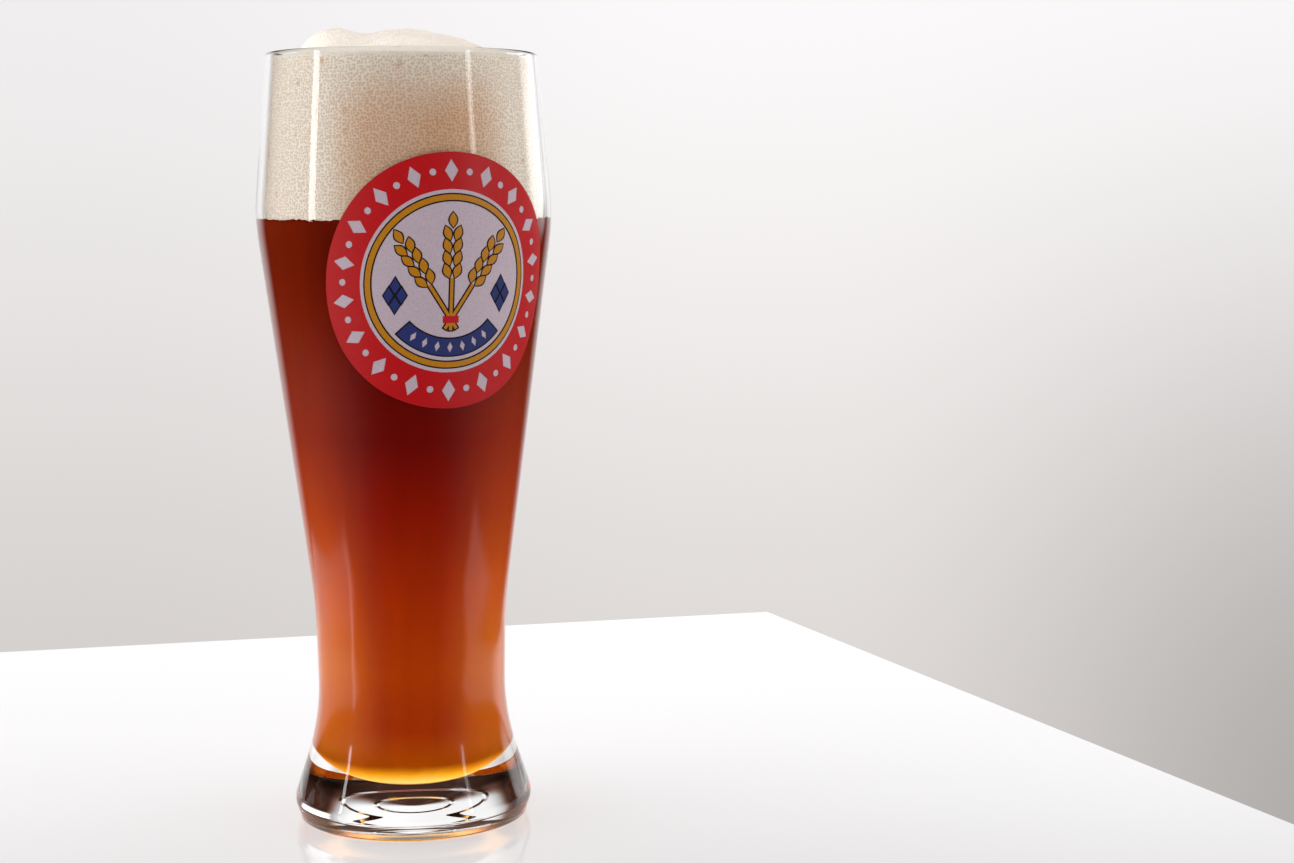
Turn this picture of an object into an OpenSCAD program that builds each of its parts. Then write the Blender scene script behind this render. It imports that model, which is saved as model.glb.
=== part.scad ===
// Half-litre wheat beer glass: a tall waisted tumbler with a thick clear foot. It holds dark
// wheat beer under a head of foam, and its front carries a round decal fired on in five inks.
// Z is up, the glass stands on z = 0, its axis is the Z axis, and its front faces -Y.

/* [Glass outside] */
// Height of the rim above the table
glass_h = 220; // [205:1:235]
// Outer diameter at the rim
rim_d = 76.7; // [72:0.1:80]
// Outer diameter where the two straight sides meet at the belly, before it is rounded
belly_d = 84.7; // [82:0.1:92]
// Height of the belly
belly_z = 174; // [165:1:185]
// Radius that rounds the belly
belly_round = 62; // [30:1:90]
// Outer diameter at the upper end of the waist
waist_d = 55.3; // [52:0.1:60]
// Height of the upper end of the waist
waist_z = 63.5; // [55:0.5:75]
// Radius that rounds the upper end of the waist
waist_round = 160; // [60:1:200]
// Outer diameter where the waist starts to flare to the foot
flare_d = 53.7; // [50:0.1:58]
// Height where the waist starts to flare
flare_z = 29.5; // [25:0.5:35]
// Radius that rounds the flare
flare_round = 68; // [30:1:90]
// Outer diameter of the foot at its widest
foot_d = 68.7; // [64:0.1:76]
// Height of the foot's widest place
foot_z = 6.6; // [5:0.1:11]
// Radius that rounds the foot into the flare
foot_round = 13; // [5:0.5:20]
// Height of the bevelled heel under the foot
heel_h = 4.6; // [2:0.1:5.5]
// Radius that rounds the heel's upper edge
heel_round = 3; // [1:0.1:6]

/* [Glass wall and floor] */
// Wall thickness at the rim
rim_wall = 2; // [1.6:0.1:3]
// Radius on the rim's two edges
lip_round = 0.9; // [0.3:0.05:1]
// Wall thickness at the belly
belly_wall = 2.2; // [1.6:0.1:3.5]
// Wall thickness at the upper end of the waist
waist_wall = 3.2; // [2:0.1:4.5]
// Wall thickness where the waist starts to flare
flare_wall = 3.4; // [2:0.1:5]
// Diameter of the floor, before its edge is rounded
floor_d = 28; // [20:0.5:36]
// Height of the floor's edge above the table
floor_z = 9.8; // [8:0.1:12]
// Depth of the floor's hollow at the axis
floor_dip = 0.5; // [0.2:0.1:2]
// Radius between the floor and the bowl that rises from it
floor_round = 20; // [5:0.5:24]
// Diameter where the bowl meets the wall, before it is rounded
bowl_d = 50; // [44:0.5:52]
// Height where the bowl meets the wall
bowl_z = 21; // [18:0.5:24]
// Radius between the bowl and the wall
bowl_round = 14; // [5:0.5:24]

/* [Underside] */
// Outer diameter of the flat ring that the glass stands on
contact_d = 65.6; // [60:0.1:68]
// Inner diameter of that ring
contact_bore_d = 49.4; // [44:0.1:56]
// Width of the slope between that ring and the punt's roof
punt_slope_w = 0.7; // [0.5:0.1:4]
// Height of the punt's roof at its edge
punt_z = 1.5; // [1:0.1:3]
// Height of the roof at the axis, where it hangs lowest
punt_mid_z = 0.45; // [0.4:0.05:1]
// Radius that rounds the punt's edge
punt_round = 0.3; // [0.2:0.1:2]
// Diameter of the larger mould ring on the roof
outer_ring_d = 28; // [22:0.5:32]
// Diameter of the smaller mould ring
inner_ring_d = 14.8; // [8:0.1:18]
// Width of a mould ring
mould_ring_w = 1.2; // [0.6:0.1:2]
// Depth that a mould ring stands down from the roof
mould_ring_h = 0.4; // [0.2:0.05:0.5]
// Radius that rounds a mould ring's edges
mould_ring_round = 0.3; // [0.1:0.05:0.5]

/* [Beer and foam] */
// Depth from the rim to the top of the beer
beer_gap = 45.8; // [30:0.1:80]
// Depth from the rim to the edge of the foam at the wall
foam_gap = 1.5; // [1:0.1:6]
// Height of the foam's crown above the rim
crown_h = 8.6; // [5:0.1:20]
// Diameter of the crown where it leaves the rim's level
crown_d = 62; // [40:0.5:70]

/* [Decal] */
// Diameter of the decal
decal_d = 70.4; // [50:0.1:74]
// Height of the decal's centre
decal_z = 157; // [145:0.5:165]
// Turn of the decal about the glass, from the front towards +X
decal_turn = 18; // [-180:1:180]
// Thickness of one coat of ink
ink_t = 0.05; // [0.03:0.01:0.1]
// Clearance between the glass and the first coat
ink_gap = 0.06; // [0.03:0.01:0.2]
// Width of the red border, measured along a radius
border_w = 10.1; // [7:0.1:13]
// Number of white lozenges in the red border
lozenge_count = 18; // [8:1:24]
// Height of a border lozenge, measured along a radius
lozenge_h = 6.2; // [3:0.1:8]
// Width of a border lozenge
lozenge_w = 3.8; // [2:0.1:5]
// Diameter of the white dots between the lozenges
dot_d = 1.9; // [1:0.1:3]
// Width of the white gap between the border and the gold band
field_gap = 1.4; // [0.8:0.1:2.5]
// Width of the gold band round the field
band_w = 1.5; // [0.8:0.1:2.5]
// Width of the black line beside every gold and blue shape
line_w = 0.4; // [0.2:0.05:0.6]
// Length of one grain of an ear
grain_l = 4.1; // [3:0.1:5]
// Width of one grain of an ear
grain_w = 2.1; // [1.5:0.1:2.6]
// Number of grain pairs on an ear
grain_pairs = 4; // [2:1:5]
// Lean of the two outer ears
ear_lean = 33; // [26:1:38]
// Depth of the tie below the decal's centre
tie_drop = 10.4; // [8:0.1:12]
// Length of a stalk between the tie and its ear
stalk_l = 11.4; // [9:0.1:13]
// Length of a stalk below the tie
stalk_tail = 3; // [1.5:0.1:4]
// Width of a stalk
stalk_w = 0.9; // [0.5:0.1:1.4]
// Width of the blue ribbon
ribbon_w = 4.6; // [3:0.1:6]
// Half of the angle that the ribbon spans
ribbon_half_turn = 46; // [25:1:60]
// Number of white diamonds on the ribbon
ribbon_diamonds = 7; // [3:1:9]
// Height of one blue lozenge beside the ears
blue_lozenge_h = 4.4; // [2.5:0.1:5]
// Width of one blue lozenge beside the ears
blue_lozenge_w = 2.7; // [1.5:0.1:3]
// Distance of the blue lozenges from the decal's upright line
blue_lozenge_out = 15.4; // [13:0.1:17]
// Depth of the blue lozenges below the decal's centre
blue_lozenge_drop = 3.6; // [1:0.1:6]

/* [Hidden] */
// Overrun of every cutting or trimming shape
over = 1;
// Largest turn and largest length of one step of a rounded corner
arc_turn = 12;
arc_step = 4;
// Share of a side that a corner's rounding may take
round_share = 0.5;
// Points round a ring of ink and round the side of a small motif
ring_points = 96;
motif_points = 6;
// Crown lumps: places and radii in shares of the crown's radius, and tops in shares of its height
crown_lump_shares = [
    [-0.6, 0.13, 0.37, 1],
    [-0.03, 0.13, 0.68, 0.95],
    [0.29, 0.13, 0.61, 0.79],
    [0.62, 0.2, 0.34, 0.33],
    [0, 0.5, 0.48, 0.64],
    [0.05, -0.5, 0.46, 0.64]
];
// Height of the foam between the lumps in shares of the crown's, at the axis and two thirds out
crown_mid_share = 0.64;
crown_side_share = 0.32;
// Length and height of the red tie, in stalk widths
tie_shares = [5, 2.2];
// Step between grain pairs, and how far a grain's foot lies from its stalk's line
grain_pitch_share = 0.84;
grain_foot_share = 0.36;
// Tilt of a grain from its stalk
grain_tilt = 20;

beer_z = glass_h - beer_gap;
decal_r = decal_d / 2;
field_r = decal_r - border_w;
band_outer_r = field_r - field_gap;
band_inner_r = band_outer_r - band_w;
ribbon_r = band_inner_r - ribbon_w / 2 - field_gap - line_w;
ribbon_pitch = 2 * ribbon_half_turn / (ribbon_diamonds + 1);

// Corners are [radius, height, rounding], from the contact ring up the outside
outer_corners = [
    [contact_d / 2, 0, 0],
    [foot_d / 2, heel_h, heel_round],
    [foot_d / 2, foot_z, foot_round],
    [flare_d / 2, flare_z, flare_round],
    [waist_d / 2, waist_z, waist_round],
    [belly_d / 2, belly_z, belly_round],
    [rim_d / 2, glass_h, lip_round]
];
// From the floor's middle up the inside
inner_corners = [
    [0, floor_z - floor_dip, 0],
    [floor_d / 2, floor_z, floor_round],
    [bowl_d / 2, bowl_z, bowl_round],
    [flare_d / 2 - flare_wall, flare_z, flare_round + flare_wall],
    [waist_d / 2 - waist_wall, waist_z, waist_round + waist_wall],
    [belly_d / 2 - belly_wall, belly_z, belly_round - belly_wall],
    [rim_d / 2 - rim_wall, glass_h, lip_round]
];
punt_r = contact_bore_d / 2 - punt_slope_w;
// Height of the punt's roof at a radius, and the three corners of a mould ring on it
function roof_z(r) = punt_mid_z + (punt_z - punt_mid_z) * r / punt_r;
function mould_ring(r) = [
    for (side = [-1 : 1])
        let (at = r + side * mould_ring_w / 2)
        [at, roof_z(at) - (side == 0 ? mould_ring_h : 0), mould_ring_round]
];
// From the punt's middle out to the contact ring
under_corners = [
    [0, punt_mid_z, 0],
    each mould_ring(inner_ring_d / 2),
    each mould_ring(outer_ring_d / 2),
    [punt_r, punt_z, punt_round],
    [contact_bore_d / 2, 0, 0]
];

function reversed(list) = [for (i = [len(list) - 1 : -1 : 0]) list[i]];
function flat(corner) = [corner[0], corner[1]];
function unit(v) = v / norm(v);

// Points that round corner b between corners a and c, inside the share of a side allowed
function rounding(a, b, c) =
    let (
        to_a = unit(flat(a) - flat(b)),
        to_c = unit(flat(c) - flat(b)),
        half = acos(max(-1, min(1, to_a * to_c))) / 2,
        side = round_share * min(norm(flat(a) - flat(b)), norm(flat(c) - flat(b))),
        radius = min(b[2], side * tan(half)),
        centre = flat(b) + unit(to_a + to_c) * radius / sin(half),
        start = flat(b) + to_a * radius / tan(half) - centre,
        turn = 180 - 2 * half,
        way = cross(to_a, to_c) > 0 ? -1 : 1,
        steps = max(2, ceil(turn / arc_turn), ceil(radius * turn * PI / 180 / arc_step))
    )
    [for (i = [0 : steps])
        let (angle = way * turn * i / steps)
        centre + [
            start[0] * cos(angle) - start[1] * sin(angle),
            start[0] * sin(angle) + start[1] * cos(angle)
        ]
    ];

// The line through a list of corners, with each inner corner rounded by its own radius
function rounded(corners) = [
    for (i = [0 : len(corners) - 1])
        for (p = i == 0 || i == len(corners) - 1 || corners[i][2] == 0
            ? [flat(corners[i])]
            : rounding(corners[i - 1], corners[i], corners[i + 1]))
            p
];

glass_line = rounded(concat(under_corners, outer_corners, reversed(inner_corners)));
outer_line = rounded(outer_corners);
inner_line = rounded(inner_corners);
outer_table = [for (p = outer_line) [p[1], p[0]]];
inner_table = [for (p = inner_line) [p[1], p[0]]];
function outer_r(z) = lookup(z, outer_table);
function inner_r(z) = lookup(z, inner_table);

// The inside of the glass between two levels, from the wall's own points
function inner_between(low, high) = concat(
    [[inner_r(low), low]],
    [for (p = inner_line) if (p[1] > low && p[1] < high) p],
    [[inner_r(high), high]]
);

// Places on the decal are [across, up] along the surface from its centre
side_rise = belly_z - waist_z;
side_run = (belly_d - waist_d) / 2;
decal_lean = side_rise / norm([side_rise, side_run]);
function on_glass(place) =
    let (
        z = decal_z + place[1] * decal_lean,
        r = outer_r(z)
    )
    [r * sin(place[0] / r * 180 / PI), z];
function circle_points(r, count) = [
    for (i = [0 : count - 1])
        let (angle = 360 * i / count)
        [r * sin(angle), r * cos(angle)]
];
function placed(points, turn, at) = [
    for (p = points)
        [p[0] * cos(turn) + p[1] * sin(turn), p[1] * cos(turn) - p[0] * sin(turn)] + at
];
function lozenge(w, h) = [[0, h / 2], [w / 2, 0], [0, -h / 2], [-w / 2, 0]];
// A grain points up from its lower tip, with sides that are sine curves
function grain(l, w) = concat(
    [for (i = [0 : motif_points - 1]) [w / 2 * sin(180 * i / motif_points), l * i / motif_points]],
    [for (i = [motif_points : -1 : 1]) [-w / 2 * sin(180 * i / motif_points), l * i / motif_points]]
);
// A band bent round the field's centre below it, half_turn to each side of straight down
function bent_band(r, w, half_turn) = concat(
    [for (i = [-motif_points : motif_points])
        let (angle = 180 + half_turn * i / motif_points)
        [(r + w / 2) * sin(angle), (r + w / 2) * cos(angle)]
    ],
    [for (i = [motif_points : -1 : -motif_points])
        let (angle = 180 + half_turn * i / motif_points)
        [(r - w / 2) * sin(angle), (r - w / 2) * cos(angle)]
    ]
);

// Ink shapes, each a list of places on the decal
ear_leans = [-ear_lean, 0, ear_lean];
function ear_grains(edge) = [
    for (lean = ear_leans)
        for (i = [0 : grain_pairs])
            for (side = i == grain_pairs ? [0] : [-1, 1])
                let (
                    along = stalk_l + i * grain_l * grain_pitch_share,
                    tilt = lean + side * grain_tilt,
                    foot = [along * sin(lean), along * cos(lean) - tie_drop],
                    aside = [cos(lean), -sin(lean)] * side * grain_w * grain_foot_share,
                    back = [sin(tilt), cos(tilt)] * edge
                )
                placed(grain(grain_l + 2 * edge, grain_w + 2 * edge), tilt, foot + aside - back)
];
function stalks(edge) = [
    for (lean = ear_leans)
        let (half = stalk_w / 2 + edge)
        placed(
            [[-half, -stalk_tail - edge], [half, -stalk_tail - edge], [half, stalk_l], [-half, stalk_l]],
            lean,
            [0, -tie_drop]
        )
];
function ribbon(edge) =
    bent_band(ribbon_r, ribbon_w + 2 * edge, ribbon_half_turn + edge / ribbon_r * 180 / PI);
ribbon_cuts = [
    for (i = [1 : ribbon_diamonds])
        let (turn = 180 - ribbon_half_turn + i * ribbon_pitch)
        placed(lozenge(ribbon_w / 3, ribbon_w * 2 / 3), turn, ribbon_r * [sin(turn), cos(turn)])
];
// Four lozenges on each side, point to point, with the black line's width between them
function blue_lozenges(edge) = [
    for (side = [-1, 1])
        for (step = [[0, 1], [1, 0], [0, -1], [-1, 0]])
            placed(
                lozenge(blue_lozenge_w, blue_lozenge_h) * (1 + 2 * edge / blue_lozenge_w),
                0,
                [
                    side * blue_lozenge_out + step[0] * (blue_lozenge_w / 2 + line_w),
                    step[1] * (blue_lozenge_h / 2 + line_w) - blue_lozenge_drop
                ]
            )
];
tie = [
    for (corner = [[-1, -1], [1, -1], [1, 1], [-1, 1]])
        [corner[0] * tie_shares[0], corner[1] * tie_shares[1]] * stalk_w / 2 - [0, tie_drop]
];

// A coat of ink: the layer's number sets how far it lies off the glass
module ink(layer) {
    low = decal_z - decal_r;
    high = decal_z + decal_r;
    line = [
        [outer_r(low), low],
        each [for (p = outer_line) if (p[1] > low && p[1] < high) p],
        [outer_r(high), high]
    ];
    inside = [for (p = line) p + [ink_gap + ink_t * layer, 0]];
    outside = [for (p = inside) p + [ink_t, 0]];
    rotate([0, 0, decal_turn])
        intersection() {
            rotate_extrude()
                polygon(concat(inside, reversed(outside)));
            rotate([90, 0, 0])
                linear_extrude(belly_d / 2 + over)
                    children();
        }
}

// One flat shape of ink from its places on the decal
module shape(places) {
    polygon([for (p = places) on_glass(p)]);
}

// A ring of ink between two radii
module ring(inner, outer) {
    difference() {
        shape(circle_points(outer, ring_points));
        shape(circle_points(inner, ring_points));
    }
}

module glass() {
    color("lightcyan", 0.4)
        rotate_extrude()
            polygon(glass_line);
}

module beer() {
    color("saddlebrown")
        rotate_extrude()
            polygon(concat(
                [[0, beer_z]],
                [flat(inner_corners[0])],
                [for (p = inner_between(inner_corners[0][1], beer_z)) if (p[0] > 0) p]
            ));
}

module foam_head() {
    wall_z = glass_h - foam_gap;
    crown_corners = [
        [inner_r(wall_z), wall_z, 0],
        [crown_d / 2, wall_z + foam_gap / 2, foam_gap],
        [crown_d / 3, glass_h + crown_h * crown_side_share, crown_h],
        [0, glass_h + crown_h * crown_mid_share, 0]
    ];
    color("wheat")
        union() {
            rotate_extrude()
                polygon(concat([[0, beer_z]], inner_between(beer_z, wall_z), rounded(crown_corners)));
            for (lump = crown_lump_shares)
                translate([
                    lump[0] * crown_d / 2,
                    lump[1] * crown_d / 2,
                    glass_h + lump[3] * crown_h - lump[2] * crown_d / 2
                ])
                    sphere(r = lump[2] * crown_d / 2);
        }
}

module decal_white_ink() {
    color("white")
        ink(0)
            shape(circle_points(decal_r, ring_points));
}

module decal_red_ink() {
    pitch = 360 / lozenge_count;
    middle_r = decal_r - border_w / 2;
    color("crimson")
        ink(1) {
            difference() {
                ring(field_r, decal_r);
                for (i = [0 : lozenge_count - 1]) {
                    turn = i * pitch;
                    dot_turn = turn + pitch / 2;
                    shape(placed(lozenge(lozenge_w, lozenge_h), turn, middle_r * [sin(turn), cos(turn)]));
                    shape(placed(
                        circle_points(dot_d / 2, 2 * motif_points),
                        0,
                        middle_r * [sin(dot_turn), cos(dot_turn)]
                    ));
                }
            }
            shape(tie);
        }
}

module decal_black_ink() {
    color("black")
        ink(1)
            difference() {
                union() {
                    ring(band_inner_r - line_w, band_outer_r + line_w);
                    for (places = concat(ear_grains(line_w), stalks(line_w), blue_lozenges(line_w)))
                        shape(places);
                    shape(ribbon(line_w));
                }
                shape(tie);
                for (places = ribbon_cuts)
                    shape(places);
            }
}

module decal_gold_ink() {
    color("gold")
        ink(2) {
            ring(band_inner_r, band_outer_r);
            difference() {
                for (places = concat(ear_grains(0), stalks(0)))
                    shape(places);
                shape(tie);
            }
        }
}

module decal_blue_ink() {
    color("midnightblue")
        ink(2) {
            difference() {
                shape(ribbon(0));
                for (places = ribbon_cuts)
                    shape(places);
            }
            for (places = blue_lozenges(0))
                shape(places);
        }
}

glass();
beer();
foam_head();
decal_white_ink();
decal_red_ink();
decal_black_ink();
decal_gold_ink();
decal_blue_ink();
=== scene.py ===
"""A wheat beer glass, filled: clear glass, dark beer, a head of foam and a round decal.

Sizes are in millimetres, round the glass's own axis with its front towards -Y, and become metres
when a mesh is made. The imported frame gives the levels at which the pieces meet.
"""

import logging
import math
import random
from dataclasses import dataclass, field
from enum import Enum
from functools import cache
from typing import Callable, Iterator, Sequence

import bpy
from bpy.types import Material, Node, NodeSocket, NodeTree, Object
from mathutils import Matrix, Vector, geometry, noise


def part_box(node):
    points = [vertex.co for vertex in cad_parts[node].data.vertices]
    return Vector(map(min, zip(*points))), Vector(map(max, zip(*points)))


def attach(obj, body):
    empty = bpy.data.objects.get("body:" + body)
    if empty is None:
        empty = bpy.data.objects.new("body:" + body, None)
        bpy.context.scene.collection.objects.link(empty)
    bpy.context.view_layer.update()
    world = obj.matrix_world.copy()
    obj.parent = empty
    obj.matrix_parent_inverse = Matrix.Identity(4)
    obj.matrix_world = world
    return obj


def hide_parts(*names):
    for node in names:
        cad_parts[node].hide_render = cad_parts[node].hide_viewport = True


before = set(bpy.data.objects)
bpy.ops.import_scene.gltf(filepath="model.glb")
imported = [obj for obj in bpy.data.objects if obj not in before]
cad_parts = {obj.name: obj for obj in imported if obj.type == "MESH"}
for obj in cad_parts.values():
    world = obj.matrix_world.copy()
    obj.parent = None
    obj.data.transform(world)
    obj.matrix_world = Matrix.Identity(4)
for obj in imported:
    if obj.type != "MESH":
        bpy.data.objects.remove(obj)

MM = 0.001
TINY = 1e-9
BODY = "root"
LOG = logging.getLogger("weizen_glass")

Point = tuple[float, float]
Place = tuple[float, float, float]
Face = tuple[int, ...]
Colour = tuple[float, float, float]
Stops = tuple[tuple[float, Colour], ...]
Range = tuple[float, float]
Shade = tuple[Range, Range]

# From all to nothing, and the middle part of a noise's values
FALL: Range = (1.0, 0.0)
NOISE: Range = (0.3, 0.7)


class Coat(Enum):
    """The five coats of ink, each with its slot's name."""

    WHITE = "white_ink"
    RED = "red_ink"
    BLACK = "black_ink"
    GOLD = "gold_ink"
    BLUE = "blue_ink"

    @property
    def layer(self) -> int:
        """How many coats lie under this one."""
        return {Coat.WHITE: 0, Coat.RED: 1, Coat.BLACK: 1}.get(self, 2)

    @property
    def node(self) -> str:
        """The name of the coat's node in the frame."""
        return f"decal_{self.value}"


def level(node: str) -> float:
    """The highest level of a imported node, in millimetres."""
    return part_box(node)[1].z / MM


# Outlines


@dataclass(frozen=True)
class Corner:
    """A corner of an outline in the plane of radius and height, with the radius that rounds it."""

    radius: float
    height: float
    rounding: float = 0.0

    @property
    def place(self) -> Vector:
        """The corner as a vector."""
        return Vector((self.radius, self.height))


@dataclass(frozen=True)
class Outline:
    """A line through corners, each rounded within half of its shorter side."""

    corners: tuple[Corner, ...]
    step_turn: float = math.radians(3)
    step_length: float = 2.0
    side_share: float = 0.5
    least: float = 0.001

    def _arc(self, before: Corner, at: Corner, after: Corner) -> list[Point]:
        """Points that round one corner between its two neighbours.

        Args:
            before: The corner before it.
            at: The corner to round.
            after: The corner after it.

        Returns:
            The points of the arc, from the side before to the side after.
        """
        to_before = before.place - at.place
        to_after = after.place - at.place
        side = self.side_share * min(to_before.length, to_after.length)
        to_before.normalize()
        to_after.normalize()
        half = to_before.angle(to_after) / 2
        radius = min(at.rounding, side * math.tan(half))
        centre = at.place + (to_before + to_after).normalized() * radius / math.sin(half)
        start = at.place + to_before * radius / math.tan(half) - centre
        turn = math.pi - 2 * half
        way = -1 if to_before.cross(to_after) > 0 else 1
        steps = max(2, math.ceil(turn / self.step_turn), math.ceil(radius * turn / self.step_length))
        points = []
        for i in range(steps + 1):
            angle = way * turn * i / steps
            x = start.x * math.cos(angle) - start.y * math.sin(angle)
            y = start.x * math.sin(angle) + start.y * math.cos(angle)
            points.append((centre.x + x, centre.y + y))
        return points

    def points(self) -> list[Point]:
        """The whole line, as points of radius and height.

        Returns:
            The points, with no two in one place.
        """
        line = []
        last = len(self.corners) - 1
        for i, corner in enumerate(self.corners):
            if i in (0, last) or corner.rounding == 0:
                line.append((corner.radius, corner.height))
            else:
                line += self._arc(self.corners[i - 1], corner, self.corners[i + 1])
        pairs = zip(line, line[1:])
        return [line[0], *[after for at, after in pairs if math.dist(at, after) > self.least]]


def between(line: Sequence[Point], low: float, high: float) -> list[Point]:
    """The part of a rising line that lies between two heights, with a point made at each."""
    inside = [p for p in line if low < p[1] < high]
    return [(radius_at(line, low), low), *inside, (radius_at(line, high), high)]


def radius_at(line: Sequence[Point], height: float) -> float:
    """The radius of a rising line at a height.

    Args:
        line: Points of radius and height, rising.
        height: The height.

    Returns:
        The radius, held at the line's ends.
    """
    if height <= line[0][1]:
        return line[0][0]
    for (r0, z0), (r1, z1) in zip(line, line[1:]):
        if height <= z1:
            return r0 + (r1 - r0) * (height - z0) / max(z1 - z0, TINY)
    return line[-1][0]


def finely(line: Sequence[Point], step: float) -> list[Point]:
    """Adds points to a line so that no stretch is longer than a step.

    Args:
        line: The line's points.
        step: The longest stretch that stays whole.

    Returns:
        The line with its added points.
    """
    fine = [line[0]]
    for (x0, y0), (x1, y1) in zip(line, line[1:]):
        count = max(1, math.ceil(math.hypot(x1 - x0, y1 - y0) / step))
        fine += [(x0 + (x1 - x0) * i / count, y0 + (y1 - y0) * i / count) for i in range(1, count + 1)]
    return fine


# Meshes


def make_piece(name: str, places: Sequence[Place], faces: Sequence[Face]) -> Object:
    """Makes one piece of the object from millimetres.

    Args:
        name: The piece's name.
        places: Its vertices in millimetres.
        faces: Its faces, as indices of the vertices.

    Returns:
        The new object, with smooth faces.
    """
    mesh = bpy.data.meshes.new(name)
    mesh.from_pydata([(x * MM, y * MM, z * MM) for x, y, z in places], [], faces)
    mesh.validate()
    for polygon in mesh.polygons:
        polygon.use_smooth = True
    piece = bpy.data.objects.new(name, mesh)
    bpy.context.scene.collection.objects.link(piece)
    return piece


def dress(piece: Object, material: Material, node: str) -> Object:
    """Gives a piece its material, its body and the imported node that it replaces.

    Args:
        piece: The piece.
        material: Its material.
        node: The node's name.

    Returns:
        The piece.
    """
    piece.data.materials.append(material)
    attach(piece, BODY)
    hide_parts(node)
    return piece


Shift = Callable[[float, float, float], Place]


def lathe(name: str, line: Sequence[Point], turns: int, shift: Shift = lambda *place: place) -> Object:
    """Turns a line about the glass's axis.

    Args:
        name: The piece's name.
        line: Points of radius and height, which start and end on the axis.
        turns: The number of points round the axis.
        shift: Moves a vertex from its place.

    Returns:
        The new piece, closed at both ends.
    """
    inner = line[1:-1]
    places = [shift(0, 0, line[0][1]), shift(0, 0, line[-1][1])]
    angles = [math.tau * i / turns for i in range(turns)]
    for radius, height in inner:
        places += [shift(radius * math.cos(angle), radius * math.sin(angle), height) for angle in angles]
    faces: list[Face] = []
    last = 2 + (len(inner) - 1) * turns
    for i in range(turns):
        j = (i + 1) % turns
        faces.append((0, 2 + j, 2 + i))
        faces.append((1, last + i, last + j))
        for row in range(2, last, turns):
            faces.append((row + i, row + j, row + turns + j, row + turns + i))
    return make_piece(name, places, faces)


# Shader building


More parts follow.
